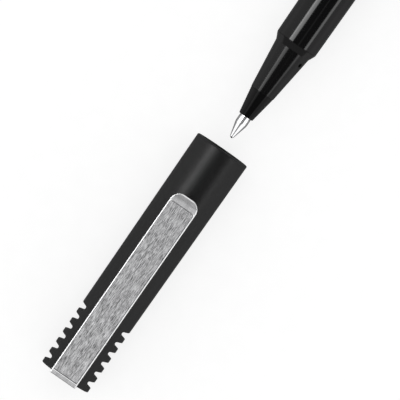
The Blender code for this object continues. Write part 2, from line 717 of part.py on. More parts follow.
def make_clip_blank():
    """Side view of blade, bend and leg, swept across the full width."""
    side = [
        (cap_x(CLIP_END_C), FLANGE_Z),
        (cap_x(CLIP_END_C), RIM_Z + CLIP_LIP_HEIGHT),
        (cap_x(CLIP_END_C - CLIP_LIP_LENGTH), RIM_Z),
    ]
    side += arc(LEG_FACE_X - CLIP_BEND_R, RIM_Z - CLIP_BEND_R, CLIP_BEND_R, 90.0, 0.0, 6)
    side += [(LEG_FACE_X, LEG_END_Z), (LEG_BACK_X, LEG_END_Z), (LEG_BACK_X, FLANGE_Z)]
    clip = prism("clip", side, 'Y', -CLIP_HALF, CLIP_HALF, mat=CLIP_MAT)

    # put the clip's origin on the place where it flexes
    pivot = Vector((cap_x(PIVOT_C) * MM, 0.0, PIVOT_Z * MM))
    clip.data.transform(Matrix.Translation(-pivot))
    clip.location = pivot
    attach(clip, CLIP_PIVOT)
    return clip


def cut_channel(clip):
    """Hollow the underside between the two side flanges."""
    outline = rectangle(CLIP_HALF - FLANGE_THICK, FLANGE_Z - 1.0, CLIP_UNDER_Z)
    cutter = prism("clip_channel_cut", outline, 'X', cap_x(CLIP_END_C + 1.0), LEG_BACK_X)
    boolean(clip, cutter, "channel")


def cut_flange_relief(clip):
    """Let the flanges die away towards the free end."""
    outline = [(cap_x(CLIP_END_C - back), CLIP_UNDER_Z + rise) for back, rise in RELIEF_OUTLINE]
    boolean(clip, prism("clip_end_cut", outline, 'Y', -4.0, 4.0), "flange_relief")


def cut_panel(clip):
    """Recessed panel with rounded corners."""
    half = CLIP_HALF - RIM_WIDTH
    bend_x = cap_x(BAND_LENGTH - CLIP_PROUD + PANEL_CORNER_R)
    bend_y = half - PANEL_CORNER_R
    end_x = cap_x(CLIP_END_C - PANEL_END_GAP - PANEL_END_R)
    end_y = half - PANEL_END_R
    outline = arc(bend_x, bend_y, PANEL_CORNER_R, 0.0, 90.0, 4)
    outline += arc(end_x, end_y, PANEL_END_R, 90.0, 180.0, 4)
    outline += arc(end_x, -end_y, PANEL_END_R, 180.0, 270.0, 4)
    outline += arc(bend_x, -bend_y, PANEL_CORNER_R, 270.0, 360.0, 4)
    boolean(clip, prism("clip_panel_cut", outline, 'Z', PANEL_Z, RIM_Z + 1.0), "panel")


def cut_round_end(clip):
    """Round the corners of the free end in plan."""
    outside_x = cap_x(CLIP_END_C + 2.0)
    outside_y = CLIP_HALF + 1.0
    corner_x = cap_x(CLIP_END_C - CLIP_END_R)
    corner_y = CLIP_HALF - CLIP_END_R
    outline = [(outside_x, -outside_y), (outside_x, outside_y), (corner_x, outside_y)]
    outline += arc(corner_x, corner_y, CLIP_END_R, 90.0, 180.0, 8)
    outline += arc(corner_x, -corner_y, CLIP_END_R, 180.0, 270.0, 8)
    outline += [(corner_x, -outside_y)]
    boolean(clip, prism("clip_nose_cut", outline, 'Z', 2.0, 9.0), "round_end")


def add_tongue(clip):
    """Tongue and tang that go into the crown."""
    outline = [
        (LEG_FACE_X, TONGUE_TOP_Z),
        (LEG_BACK_X, TONGUE_TOP_Z),
        (LEG_BACK_X, TANG_TOP_Z),
        (cap_x(TANG_C), TANG_TOP_Z),
        (cap_x(TANG_C), TANG_Z + TANG_POINT_HEIGHT),
        (cap_x(TANG_C - TANG_POINT_LENGTH), TANG_Z),
        (LEG_FACE_X - TONGUE_CORNER, TANG_Z),
        (LEG_FACE_X, TANG_Z + TONGUE_CORNER),
    ]
    tongue = prism("clip_tongue", outline, 'Y', -TONGUE_HALF, TONGUE_HALF)
    boolean(clip, tongue, "tongue", operation='UNION')


def add_dimple(clip):
    """Pressed dimple that rests on the cap near the free end."""
    bm = bmesh.new()
    bmesh.ops.create_icosphere(bm, subdivisions=3, radius=DIMPLE_R * MM)
    bmesh.ops.scale(bm, verts=bm.verts, vec=DIMPLE_SCALE)
    dimple = finish_mesh(bm, "clip_dimple")
    dimple.location = (cap_x(DIMPLE_C) * MM, 0.0, DIMPLE_Z * MM)
    boolean(clip, dimple, "dimple", operation='UNION')


def make_clip():
    clip = make_clip_blank()
    cut_channel(clip)
    cut_flange_relief(clip)
    cut_panel(clip)
    cut_round_end(clip)
    add_tongue(clip)
    add_dimple(clip)


make_ball()
make_tip()
make_nose()
make_section()
make_barrel()
make_tail_plug()
make_reservoir_core()
make_reservoir_wrap()
make_feed_rod()
make_cap_shell()
make_inner_cap()
make_crown_plug()
make_clip()
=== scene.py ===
# A counterfeit detector pen with its cap beside it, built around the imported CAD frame.
# Lengths are in millimetres unless noted.  Both pieces lie along X: +X is towards the
# writing tip and the crown of the cap, and the clip is on the +Z side of the cap.
# Two measures run towards -X and are used throughout:
#   back = distance behind the lip of the steel tip
#   down = distance below the crown of the cap

import math
from collections import namedtuple

import bmesh
import bpy
import numpy as np
from mathutils import Matrix, Vector


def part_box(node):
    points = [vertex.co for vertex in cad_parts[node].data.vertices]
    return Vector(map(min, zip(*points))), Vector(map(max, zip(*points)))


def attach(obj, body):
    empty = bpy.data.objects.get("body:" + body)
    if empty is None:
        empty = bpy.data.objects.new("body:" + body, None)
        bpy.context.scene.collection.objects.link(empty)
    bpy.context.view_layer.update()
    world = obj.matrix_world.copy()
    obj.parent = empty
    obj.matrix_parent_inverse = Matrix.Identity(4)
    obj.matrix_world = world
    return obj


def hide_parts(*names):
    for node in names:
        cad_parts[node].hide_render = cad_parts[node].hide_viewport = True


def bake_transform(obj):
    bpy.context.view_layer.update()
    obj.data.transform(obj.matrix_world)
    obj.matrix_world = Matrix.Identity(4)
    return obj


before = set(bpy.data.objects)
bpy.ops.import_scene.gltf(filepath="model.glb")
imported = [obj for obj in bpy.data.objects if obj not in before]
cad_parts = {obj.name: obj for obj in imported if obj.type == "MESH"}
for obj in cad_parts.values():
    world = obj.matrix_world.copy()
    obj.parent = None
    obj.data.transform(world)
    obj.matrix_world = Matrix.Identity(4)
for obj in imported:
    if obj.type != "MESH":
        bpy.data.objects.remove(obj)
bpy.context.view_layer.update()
SCENE = bpy.context.scene
MM = 0.001

LIP_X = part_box("tip_housing")[1][0] / MM
CROWN_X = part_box("crown_plug")[1][0] / MM
CLIP_FACE_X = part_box("clip")[1][0] / MM


def from_lip(rows):
    """Turns rows of (back, ...) into rows of (x, ...)."""
    return [(LIP_X - back, *rest) for back, *rest in rows]


def from_crown(rows):
    """Turns rows of (down, ...) into rows of (x, ...)."""
    return [(CROWN_X - down, *rest) for down, *rest in rows]


def cap_x(down):
    return CROWN_X - down


# ---------------------------------------------------------------------------- mesh kit
SHARP_ANGLE = 38.0      # degrees; edges steeper than this are shaded sharp


def smooth_step(t):
    t = np.clip(t, 0.0, 1.0)
    return t * t * (3 - 2 * t)


def round_corner(before, corner, after, radius, steps):
    """The points of an arc in place of a corner, or the corner itself if it is straight."""
    length_in = np.linalg.norm(before - corner)
    length_out = np.linalg.norm(after - corner)
    u = (before - corner) / length_in
    v = (after - corner) / length_out
    angle = math.acos(max(-1.0, min(1.0, float(u @ v))))
    if angle > math.pi - 0.01:
        return [corner]
    # an arc takes less than half of either side
    reach = min(radius / math.tan(angle / 2), 0.49 * length_in, 0.49 * length_out)
    radius = reach * math.tan(angle / 2)
    middle = (u + v) / np.linalg.norm(u + v)
    centre = corner + middle * radius / math.sin(angle / 2)
    first = corner + u * reach - centre
    last = corner + v * reach - centre
    start = math.atan2(first[1], first[0])
    sweep = math.atan2(last[1], last[0]) - start
    sweep = (sweep + math.pi) % (2 * math.pi) - math.pi
    count = max(2, int(round(steps * abs(sweep) / (math.pi / 2))))
    angles = [start + sweep * i / count for i in range(count + 1)]
    return [centre + radius * np.array((math.cos(a), math.sin(a))) for a in angles]


def fillet(outline, closed=False, steps=6, hold=0.05):
    """Rounds the corners of an (x, r[, fillet radius]) outline.

    steps is the arc steps in a right angle.  Points are added at a distance hold
    from both ends of every long side, to keep the shading crisp.
    """
    rounded = []
    count = len(outline)
    for i, point in enumerate(outline):
        corner = np.array(point[:2], float)
        radius = point[2] if len(point) > 2 else 0.0
        if radius <= 0 or (not closed and i in (0, count - 1)):
            rounded.append(corner)
            continue
        before = np.array(outline[i - 1][:2], float)
        after = np.array(outline[(i + 1) % count][:2], float)
        rounded += round_corner(before, corner, after, radius, steps)
    held = []
    count = len(rounded)
    for i, point in enumerate(rounded):
        held.append(point)
        if i == count - 1 and not closed:
            break
        following = rounded[(i + 1) % count]
        length = np.linalg.norm(following - point)
        if length > 3.2 * hold:
            along_side = (following - point) / length
            held += [point + along_side * hold, following - along_side * hold]
    return [(float(x), float(r)) for x, r in held]


def shade(mesh, sharp=SHARP_ANGLE):
    mesh.shade_smooth()
    mesh.set_sharp_from_angle(angle=math.radians(sharp))


def build(name, verts, faces, materials, index=None, sharp=SHARP_ANGLE):
    """Makes an object from millimetre vertices; index is a material slot for each face."""
    mesh = bpy.data.meshes.new(name)
    mesh.from_pydata([(x * MM, y * MM, z * MM) for x, y, z in verts], [], faces)
    for material in materials:
        mesh.materials.append(material)
    if index is not None:
        mesh.polygons.foreach_set("material_index", np.array(index, np.int32))
    bm = bmesh.new()
    bm.from_mesh(mesh)
    bmesh.ops.recalc_face_normals(bm, faces=bm.faces)
    bm.to_mesh(mesh)
    bm.free()
    shade(mesh, sharp)
    mesh.update()
    ob = bpy.data.objects.new(name, mesh)
    SCENE.collection.objects.link(ob)
    return ob


def bridge(a, b):
    """Faces between two rings of vertex numbers, either of which may be a single pole."""
    count = max(len(a), len(b))
    pairs = [(j, (j + 1) % count) for j in range(count)]
    if len(a) == 1:
        return [(a[0], b[j], b[k]) for j, k in pairs]
    if len(b) == 1:
        return [(a[j], b[0], a[k]) for j, k in pairs]
    return [(a[j], b[j], b[k], a[k]) for j, k in pairs]


def revolve(rows, angles, closed):
    """Rows of (x, r); r may be one number or one for each angle.  r = 0 is a pole."""
    verts, rings, faces = [], [], []
    sines, cosines = np.sin(angles), np.cos(angles)
    count = len(angles)
    for x, r in rows:
        if np.ndim(r) == 0 and r < 1e-6:
            rings.append([len(verts)])
            verts.append((x, 0.0, 0.0))
        else:
            rings.append(range(len(verts), len(verts) + count))
            radii = np.broadcast_to(r, (count,))
            verts.extend(zip([x] * count, (radii * sines).tolist(), (radii * cosines).tolist()))
    for i in range(len(rows) if closed else len(rows) - 1):
        faces += bridge(rings[i], rings[(i + 1) % len(rows)])
    return verts, faces


def lathe(name, outline, material, segments=192, closed=True, hold=0.05, steps=6):
    """Turns an outline about X; an open outline starts and ends on the axis."""
    rows = fillet(outline, closed=closed, hold=hold, steps=steps)
    angles = np.arange(segments) * 2 * math.pi / segments
    verts, faces = revolve(rows, angles, closed)
    return build(name, verts, faces, [material])


def prism(name, outline, low_x, high_x):
    """A (y, z) outline extruded along X, used as a cutter."""
    count = len(outline)
    verts = [(x, y, z) for x in (low_x, high_x) for y, z in outline]
    faces = [tuple(range(count)), tuple(range(2 * count - 1, count - 1, -1))]
    faces += bridge(range(count), range(count, 2 * count))
    return build(name, verts, faces, [])


def carve(ob, cutters):
    """Cuts the cutters out of ob and keeps the result as plain mesh."""
    for cutter in cutters:
        cut = ob.modifiers.new("cut", "BOOLEAN")
        cut.operation = "DIFFERENCE"
        cut.solver = "EXACT"
        cut.object = cutter
    depsgraph = bpy.context.evaluated_depsgraph_get()
    depsgraph.update()
    mesh = bpy.data.meshes.new_from_object(ob.evaluated_get(depsgraph))
    ob.modifiers.clear()
    ob.data = mesh
    shade(mesh)
    for cutter in cutters:
        bpy.data.objects.remove(cutter, do_unlink=True)


def place(ob, body, node):
    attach(ob, body)
    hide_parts(node)
    return ob


# ---------------------------------------------------------------------------- node kit
NOISE_SPAN = (0.3, 0.7)     # the part of a noise's output that is stretched by remap


class Nodes:
    """Short calls for building a node tree."""

    def __init__(self, tree):
        self.tree = tree
        tree.nodes.clear()

    def new(self, kind, **props):
        node = self.tree.nodes.new(kind)
        for key, value in props.items():
            setattr(node, key, value)
        return node

    def put(self, socket, value):
        """Links a socket, or sets a plain value."""
        if hasattr(value, "is_output"):
            self.tree.links.new(value, socket)
        else:
            socket.default_value = value

    def math(self, operation, *values):
        node = self.new("ShaderNodeMath", operation=operation)
        for socket, value in zip(node.inputs, (*values, 0.0, 0.0)):
            self.put(socket, value)
        return node.outputs[0]

    def scaled(self, vector, scale):
        node = self.new("ShaderNodeMapping")
        self.put(node.inputs["Vector"], vector)
        node.inputs["Scale"].default_value = scale
        return node.outputs["Vector"]

    def noise(self, vector, stretch=None, scale=1.0, detail=3.0, rough=0.55, distortion=0.0):
        """Noise; stretch scales the coordinates on each axis first."""
        if stretch:
            vector = self.scaled(vector, stretch)
        node = self.new("ShaderNodeTexNoise")
        self.put(node.inputs["Vector"], vector)
        node.inputs["Scale"].default_value = scale
        node.inputs["Detail"].default_value = detail
        node.inputs["Roughness"].default_value = rough
        node.inputs["Distortion"].default_value = distortion
        return node.outputs["Fac"]

    def remap(self, value, to, span=NOISE_SPAN):
        node = self.new("ShaderNodeMapRange")
        self.put(node.inputs["Value"], value)
        for key, limit in zip(("From Min", "From Max", "To Min", "To Max"), (*span, *to)):
            self.put(node.inputs[key], limit)
        return node.outputs["Result"]

    def curve(self, value, stops):
        """Piecewise linear: stops are (input, level)."""
        start, end = stops[0][0], stops[-1][0]
        top = max(level for _, level in stops)
        factor = self.remap(value, to=(0.0, 1.0), span=(start, end))
        ramp = self.new("ShaderNodeValToRGB")
        elements = ramp.color_ramp.elements
        for i, (stop, level) in enumerate(stops):
            # a new ramp already has its two end elements
            at_end = i in (0, len(stops) - 1)
            element = elements[i] if at_end else elements.new((stop - start) / (end - start))
            grey = level / top
            element.color = (grey, grey, grey, 1.0)
        self.put(ramp.inputs["Fac"], factor)
        return self.math("MULTIPLY", ramp.outputs["Color"], top)

    def tint(self, rgb, value):
        """A colour times a value."""
        node = self.new("ShaderNodeVectorMath", operation="SCALE")
        node.inputs[0].default_value = rgb
        self.put(node.inputs["Scale"], value)
        return node.outputs[0]

    def bump(self, height, strength, distance, normal=None):
        """Bump; distance is in metres."""
        node = self.new("ShaderNodeBump")
        node.inputs["Strength"].default_value = strength
        node.inputs["Distance"].default_value = distance
        self.put(node.inputs["Height"], height)
        if normal is not None:
            self.put(node.inputs["Normal"], normal)
        return node.outputs["Normal"]


# ---------------------------------------------------------------------------- materials
def new_material(name):
    """A Principled material, with object coordinates in millimetres."""
    material = bpy.data.materials.new(name)
    material.use_nodes = True
    nodes = Nodes(material.node_tree)
    output = nodes.new("ShaderNodeOutputMaterial")
    shader = nodes.new("ShaderNodeBsdfPrincipled")
    nodes.put(output.inputs[0], shader.outputs[0])
    coords = nodes.new("ShaderNodeTexCoord").outputs["Object"]
    return material, nodes, shader, nodes.scaled(coords, (1000.0, 1000.0, 1000.0))


def finish(nodes, shader, rgb, level, rough, normal_maker):
    """Joins colour times level, roughness and the normal to the shader."""
    nodes.put(shader.inputs["Base Color"], nodes.tint(rgb, level))
    nodes.put(shader.inputs["Roughness"], rough)
    nodes.put(shader.inputs["Normal"], normal_maker())


def painted_edge_highlight(nodes, strength):
    """A painted highlight along edges, found where a bevelled normal leaves the true one."""
    bevel = nodes.new("ShaderNodeBevel", samples=4)
    bevel.inputs["Radius"].default_value = 0.00016
    geometry = nodes.new("ShaderNodeNewGeometry")
    dot = nodes.new("ShaderNodeVectorMath", operation="DOT_PRODUCT")
    nodes.put(dot.inputs[0], bevel.outputs[0])
    nodes.put(dot.inputs[1], geometry.outputs["Normal"])
    return nodes.remap(dot.outputs["Value"], to=(strength, 0.0), span=(0.80, 0.995))


def plastic(name, rgb, rough, grain=0.10, grain_scale=6.0, spread=0.25, edge=0.0,
            specular=0.5, wave=0.0):
    """Moulded plastic: fine skin (grain), uneven gloss (spread), a painted highlight along edges
    (edge), slow waves.
    """
    material, nodes, shader, coords = new_material(name)
    drift = nodes.noise(coords, stretch=(0.25, 0.6, 0.6), detail=4.0)
    fine = nodes.noise(coords, scale=grain_scale, rough=0.6)
    level = nodes.remap(drift, to=(1.0 - spread * 0.5, 1.0 + spread * 0.5))
    gloss = nodes.math("MULTIPLY", rough, nodes.remap(fine, to=(1.0 - spread, 1.0 + spread)))
    if edge > 0.0:
        # edge lifts the colour along edges: a painted highlight
        level = nodes.math("ADD", level, painted_edge_highlight(nodes, edge))
    shader.inputs["Specular IOR Level"].default_value = specular

    def normal():
        skin = nodes.bump(fine, strength=grain, distance=0.00001)
        if wave == 0.0:
            return skin
        swell = nodes.noise(coords, stretch=(0.35, 0.8, 0.8), detail=1.0)
        return nodes.bump(swell, strength=wave, distance=0.00002, normal=skin)

    finish(nodes, shader, rgb, level, gloss, normal)
    return material


def metal(name, rgb, rough, spread=0.3, turned=0.0, brushed=0.0, stain=0.0, grain=0.1):
    """Metal with a haze; turned gives lathe rings, brushed gives streaks with dark stains."""
    material, nodes, shader, coords = new_material(name)
    shader.inputs["Metallic"].default_value = 1.0
    haze = nodes.noise(coords, scale=1.6, detail=4.0)
    level = nodes.remap(haze, to=(1.0 - 0.3 * spread, 1.0))
    gloss = nodes.math("MULTIPLY", rough, nodes.remap(haze, to=(1.0 - spread, 1.0 + spread)))
    fine = nodes.noise(coords, scale=22.0, detail=2.0)
    normal = nodes.bump(fine, strength=grain, distance=0.000002)
    if turned > 0.0:
        # rings across the axis
        rings = nodes.noise(coords, stretch=(26.0, 0.15, 0.15), detail=2.0, rough=0.6)
        normal = nodes.bump(rings, strength=turned, distance=0.000004, normal=normal)
        gloss = nodes.math("ADD", gloss, nodes.remap(rings, to=(0.0, 0.10), span=(0.55, 0.8)))
    if brushed > 0.0:
        # coarse and fine streaks along X, then blotches and dark stains
        coarse = nodes.noise(coords, stretch=(0.55, 8.6, 1.0), rough=0.62, distortion=0.05)
        hair = nodes.noise(coords, stretch=(1.3, 14.0, 1.0), detail=2.0, rough=0.6)
        blotch = nodes.noise(coords, stretch=(0.35, 0.7, 1.0), rough=0.6)
        lines = nodes.math("ADD", nodes.math("MULTIPLY", coarse, 0.58),
                           nodes.math("MULTIPLY", hair, 0.42))
        streak = nodes.remap(lines, to=(-1.0, 1.0), span=(0.38, 0.63))
        level = nodes.math("MULTIPLY_ADD", streak, brushed, level)
        level = nodes.math("ADD", level, nodes.remap(blotch, to=(-0.14, 0.14)))
        dark = nodes.noise(coords, stretch=(0.9, 5.0, 1.0), detail=2.0, rough=0.5)
        stains = nodes.remap(dark, to=(0.0, stain), span=(0.62, 0.76))
        level = nodes.math("SUBTRACT", level, stains)
        gloss = nodes.math("ADD", gloss, nodes.remap(lines, to=(0.08, -0.05), span=(0.35, 0.65)))
        normal = nodes.bump(lines, strength=0.55, distance=0.000010, normal=normal)
    finish(nodes, shader, rgb, level, gloss, lambda: normal)
    return material


def fibre(name, rgb, soak):
    """Bonded fibre: strands along the pen, darker by soak where the ink has soaked in."""
    material, nodes, shader, coords = new_material(name)
    soft_span = (0.35, 0.65)
    strands = nodes.noise(coords, stretch=(0.8, 22.0, 22.0), rough=0.65)
    wet = nodes.noise(coords, stretch=(0.10, 0.35, 0.35))
    level = nodes.math("MULTIPLY", nodes.remap(strands, to=(0.72, 1.18), span=(0.25, 0.75)),
                       nodes.remap(wet, to=(1.0 - soak, 1.0), span=soft_span))
    rough = nodes.remap(wet, to=(0.62, 0.92), span=soft_span)
    finish(nodes, shader, rgb, level, rough,
           lambda: nodes.bump(strands, strength=0.8, distance=0.00004))
    return material


def film(name, rgb):
    """Creased, partly clear film."""
    material, nodes, shader, coords = new_material(name)
    crease = nodes.noise(coords, stretch=(0.2, 2.2, 2.2))
    shader.inputs["Transmission Weight"].default_value = 0.35
    shader.inputs["IOR"].default_value = 1.45
    level = nodes.remap(crease, to=(0.85, 1.05))
    rough = nodes.remap(crease, to=(0.16, 0.34))
    finish(nodes, shader, rgb, level, rough,
           lambda: nodes.bump(crease, strength=0.4, distance=0.00005))
    return material


BARREL_PLASTIC = plastic("barrel_plastic", rgb=(0.0048, 0.0048, 0.0050), rough=0.115,
                         grain=0.05, grain_scale=9.0, spread=0.14, wave=0.05)
SECTION_PLASTIC = plastic("section_plastic", rgb=(0.0050, 0.0050, 0.0052), rough=0.15,
                          grain=0.05, grain_scale=9.0, spread=0.15, wave=0.05)
NOSE_PLASTIC = plastic("nose_plastic", rgb=(0.0046, 0.0046, 0.0047), rough=0.10,
                       grain=0.04, grain_scale=9.0, spread=0.12, wave=0.04, specular=0.31)
TAIL_PLASTIC = plastic("tail_plastic", rgb=(0.0050, 0.0050, 0.0052), rough=0.20, spread=0.2)
# edge is a painted highlight along the edges of the cap and the crown
CAP_PLASTIC = plastic("cap_plastic", rgb=(0.0090, 0.0090, 0.0093), rough=0.43,
                      grain=0.22, grain_scale=8.0, spread=0.16, edge=0.55)
CROWN_PLASTIC = plastic("crown_plastic", rgb=(0.0110, 0.0110, 0.0113), rough=0.38,
                        grain=0.18, grain_scale=8.0, spread=0.18, edge=0.4)
LINER_PLASTIC = plastic("liner_plastic", rgb=(0.62, 0.62, 0.60), rough=0.42,
                        grain=0.15, grain_scale=4.0, spread=0.12)
TIP_STEEL = metal("tip_steel", rgb=(0.80, 0.80, 0.81), rough=0.075, spread=0.2, turned=0.30)
BALL_CARBIDE = metal("ball_carbide", rgb=(0.34, 0.34, 0.35), rough=0.14)
CLIP_BRUSHED = metal("clip_brushed", rgb=(0.345, 0.345, 0.35), rough=0.34,
                     spread=0.25, brushed=0.80, stain=0.46)
CLIP_POLISHED = metal("clip_polished", rgb=(0.86, 0.86, 0.865), rough=0.14,
                      spread=0.25, grain=0.05)
CLIP_SATIN = metal("clip_satin", rgb=(0.40, 0.40, 0.405), rough=0.30, spread=0.2, brushed=0.08)
# a darker metal for the faces along the panel's border groove: painted shade
CLIP_GROOVE_PAINTED_SHADE = metal("clip_groove_painted_shade", rgb=(0.20, 0.20, 0.205), rough=0.36, brushed=0.05)
CLIP_UNDERSIDE = metal("clip_underside", rgb=(0.50, 0.50, 0.51), rough=0.36,
                       spread=0.35, brushed=0.12)
RESERVOIR_FIBRE = fibre("reservoir_fibre", rgb=(0.55, 0.38, 0.16), soak=0.45)
FEED_FIBRE = fibre("feed_fibre", rgb=(0.62, 0.46, 0.24), soak=0.35)
RESERVOIR_FILM = film("reservoir_film", rgb=(0.80, 0.80, 0.82))

# ---------------------------------------------------------------------------- pen
# Outlines are rows of (back, radius[, fillet radius]) unless noted.
BALL_R = 0.35
SOCKET_R = 0.365
BALL_BACK = 0.12            # centre of the ball
FEED_HOLE_R = 0.30          # hole behind the ball's socket
CONE_START = (11.20, 2.735)     # the section's taper, as (back, radius)
CONE_END = (22.10, 4.05)
VENT_BACK, VENT_R, VENT_ANGLE = 20.30, 0.46, math.radians(58.0)    # angle from +Z towards +Y
VENT_SIDES = 48


def section_radius(back):
    slope = (CONE_END[1] - CONE_START[1]) / (CONE_END[0] - CONE_START[0])
    return CONE_END[1] - (CONE_END[0] - back) * slope


def make_ball():
    outline = [(BALL_BACK - BALL_R * math.cos(a), BALL_R * math.sin(a))
               for a in np.linspace(0, math.pi, 33)]
    ob = lathe("writing_ball_v", from_lip(outline), BALL_CARBIDE, segments=64, closed=False)
    place(ob, "ball", "writing_ball")


def make_tip():
    outline = [(0.0, 0.425, 0.03), (3.42, 1.325, 1.6), (4.86, 1.325, 0.03),
               (4.90, 1.285, 0.02), (4.96, 1.285, 0.02), (5.00, 1.325, 0.03),
               (5.11, 1.325), (5.11, 1.15), (9.35, 1.15), (9.50, 1.0),
               (9.50, 0.62), (1.95, 0.62), (1.45, FEED_HOLE_R)]
    # the ball's socket, from the feed hole forward to the lip
    start = math.asin(FEED_HOLE_R / SOCKET_R)
    end = math.pi - math.acos(BALL_BACK / SOCKET_R)
    outline += [(BALL_BACK + SOCKET_R * math.cos(a), SOCKET_R * math.sin(a))
                for a in np.linspace(start, end, 12)]
    ob = lathe("tip_housing_v", from_lip(outline), TIP_STEEL, segments=128, steps=10, hold=0.03)
    return place(ob, "pen", "tip_housing")


def make_nose():
    outline = [(5.13, 1.64, 0.14), (11.10, 2.675, 0.07), (11.10, 1.90), (17.0, 1.90),
               (17.2, 1.70), (17.2, 1.05), (9.62, 1.05), (9.62, 1.19), (5.13, 1.19, 0.05)]
    ob = lathe("nose_cone_v", from_lip(outline), NOSE_PLASTIC)
    place(ob, "pen", "nose_cone")


def vent_cutter():
    """A round cutter across the section's wall that widens slightly at the surface."""
    surface = section_radius(VENT_BACK)
    # (distance from the pen's axis, radius)
    levels = [(2.2, VENT_R), (surface - 0.055, VENT_R), (surface - 0.02, VENT_R + 0.018),
              (surface + 0.05, VENT_R + 0.085), (surface + 0.8, VENT_R + 0.085)]
    sine, cosine = math.sin(VENT_ANGLE), math.cos(VENT_ANGLE)
    verts, faces = [], []
    for height, radius in levels:
        for j in range(VENT_SIDES):
            a = 2 * math.pi * j / VENT_SIDES
            u, v = radius * math.cos(a), radius * math.sin(a)
            verts.append((LIP_X - VENT_BACK + u, height * sine + v * cosine,
                          height * cosine - v * sine))
    for i in range(len(levels) - 1):
        low, high = i * VENT_SIDES, (i + 1) * VENT_SIDES
        for j in range(VENT_SIDES):
            k = (j + 1) % VENT_SIDES
            faces.append((low + j, low + k, high + k, high + j))
    faces.append(tuple(range(VENT_SIDES - 1, -1, -1)))
    faces.append(tuple(range((len(levels) - 1) * VENT_SIDES, len(levels) * VENT_SIDES)))
    return build("vent_cut", verts, faces, [])


def make_section():
    outline = [(11.115, 2.725, 0.06), (*CONE_END, 0.22), (23.63, 4.78, 0.07),
               (23.63, 3.90), (32.6, 3.90), (33.0, 3.50), (33.0, 2.60),
               (17.5, 2.60), (17.5, 1.94), (11.115, 1.94, 0.04)]
    ob = lathe("section_v", from_lip(outline), SECTION_PLASTIC, steps=8)
    carve(ob, [vent_cutter()])
    place(ob, "pen", "section")


def make_barrel():
    front = from_lip([(23.64, 4.775, 0.04), (54.0, 5.11, 0.05), (54.0, 5.65, 0.22)])
    # the tail end is placed by x
    tail = [(13.0, 5.42, 0.25), (13.0, 5.08, 0.05), (1.24, 5.03, 0.20), (1.24, 3.95, 0.08)]
    outline = front + tail + from_lip([(23.64, 3.95, 0.05)])
    ob = lathe("barrel_v", outline, BARREL_PLASTIC, steps=8)
    place(ob, "pen", "barrel")


def make_tail_plug():
    # (x, radius[, fillet radius])
    outline = [(0.0, 0.0), (0.0, 4.85, 0.42), (1.22, 4.85, 0.08), (1.22, 3.90), (7.6, 3.90),
               (8.0, 3.50), (8.0, 2.90), (2.4, 2.90, 0.1), (2.4, 0.0)]
    ob = lathe("tail_plug_v", outline, TAIL_PLASTIC, closed=False, steps=10)
    place(ob, "pen", "tail_plug")


# ---------------------------------------------------------------------------- cap
# Outlines are rows of (down, radius[, fillet radius]).
CAP_R = 5.775               # outside, just below the rim
RIM_R = 0.20                # rounding between dome and side
DOME_R = CAP_R - RIM_R
DOME_DROP = 0.30            # fall of the dome from its middle to the rim
SIDE_DOWN = 0.5             # where the side begins
SKIRT_DOWN = 58.0           # open end of the cap

# Six notches on both Y sides; each leans inwards at its crown-side and skirt-side walls.
NOTCH_COUNT, NOTCH_FIRST, NOTCH_PITCH, NOTCH_MOUTH = 6, 1.42, 2.50, 1.47
NOTCH_FLOOR_Y = 4.62
LEAN_CROWN, LEAN_SKIRT = math.radians(7.0), math.radians(14.0)
NOTCHES_END = 15.60

CLIP_HALF = 6.35 / 2        # half the clip's width
TANG_HALF = 2.0             # half the width of the tang that enters the cap
CLIP_GAP = 0.08             # play beside the clip in its slots


def dome_drop(radius):
    return DOME_DROP * (radius / DOME_R) ** 2


def cap_cone(down):
    """Outside radius of the cap without its notches; the notched length tapers less."""
    plain = CAP_R + 0.418 * (down - SIDE_DOWN) / 57.25
    notched = CAP_R + 0.065 * (down - SIDE_DOWN) / 15.0
    blend = smooth_step((down - 15.46) / 0.20)
    return notched * (1 - blend) + plain * blend


def round_and(a, b, radius):
    """Intersection of two signed distances, with a rounded edge."""
    return (np.minimum(-radius, np.maximum(a, b))
            + np.hypot(np.maximum(radius + a, 0.0), np.maximum(radius + b, 0.0)))


def cap_radius(down, angles):
    """Outer radius for every angle, found by bisection: the cone less the notches."""
    number = math.floor((down - NOTCH_FIRST + 0.5) / NOTCH_PITCH)
    start = NOTCH_FIRST + min(NOTCH_COUNT - 1, max(0, number)) * NOTCH_PITCH
    end = start + NOTCH_MOUTH
    sideways = np.abs(np.sin(angles))
    cone = cap_cone(down)
    low, high = np.full(len(angles), 3.9), np.full(len(angles), 6.6)
    for _ in range(26):
        radius = (low + high) / 2
        y = radius * sideways
        depth = CAP_R - y
        crown_wall = -((down - start) - depth * math.tan(LEAN_CROWN)) * math.cos(LEAN_CROWN)
        skirt_wall = ((down - end) + depth * math.tan(LEAN_SKIRT)) * math.cos(LEAN_SKIRT)
        notch = round_and(np.maximum(crown_wall, skirt_wall), NOTCH_FLOOR_Y - y, 0.25)
        body = round_and(radius - cone, -notch, 0.06)
        high = np.where(body > 0, radius, high)
        low = np.where(body > 0, low, radius)
    return (low + high) / 2


def cap_angles():
    """Angles around the cap, closest where the notches run out."""
    quarter = [0.0]
    for start, end, step in ((0, 50.5, 3.4), (50.5, 55.0, 0.3), (55.0, 90.0, 1.35)):
        count = int(round((end - start) / step))
        quarter += [start + (end - start) * (i + 1) / count for i in range(count)]
    q = np.array(quarter)
    return np.radians(np.concatenate([q, 180 - q[::-1][1:], 180 + q[1:], 360 - q[::-1][1:-1]]))


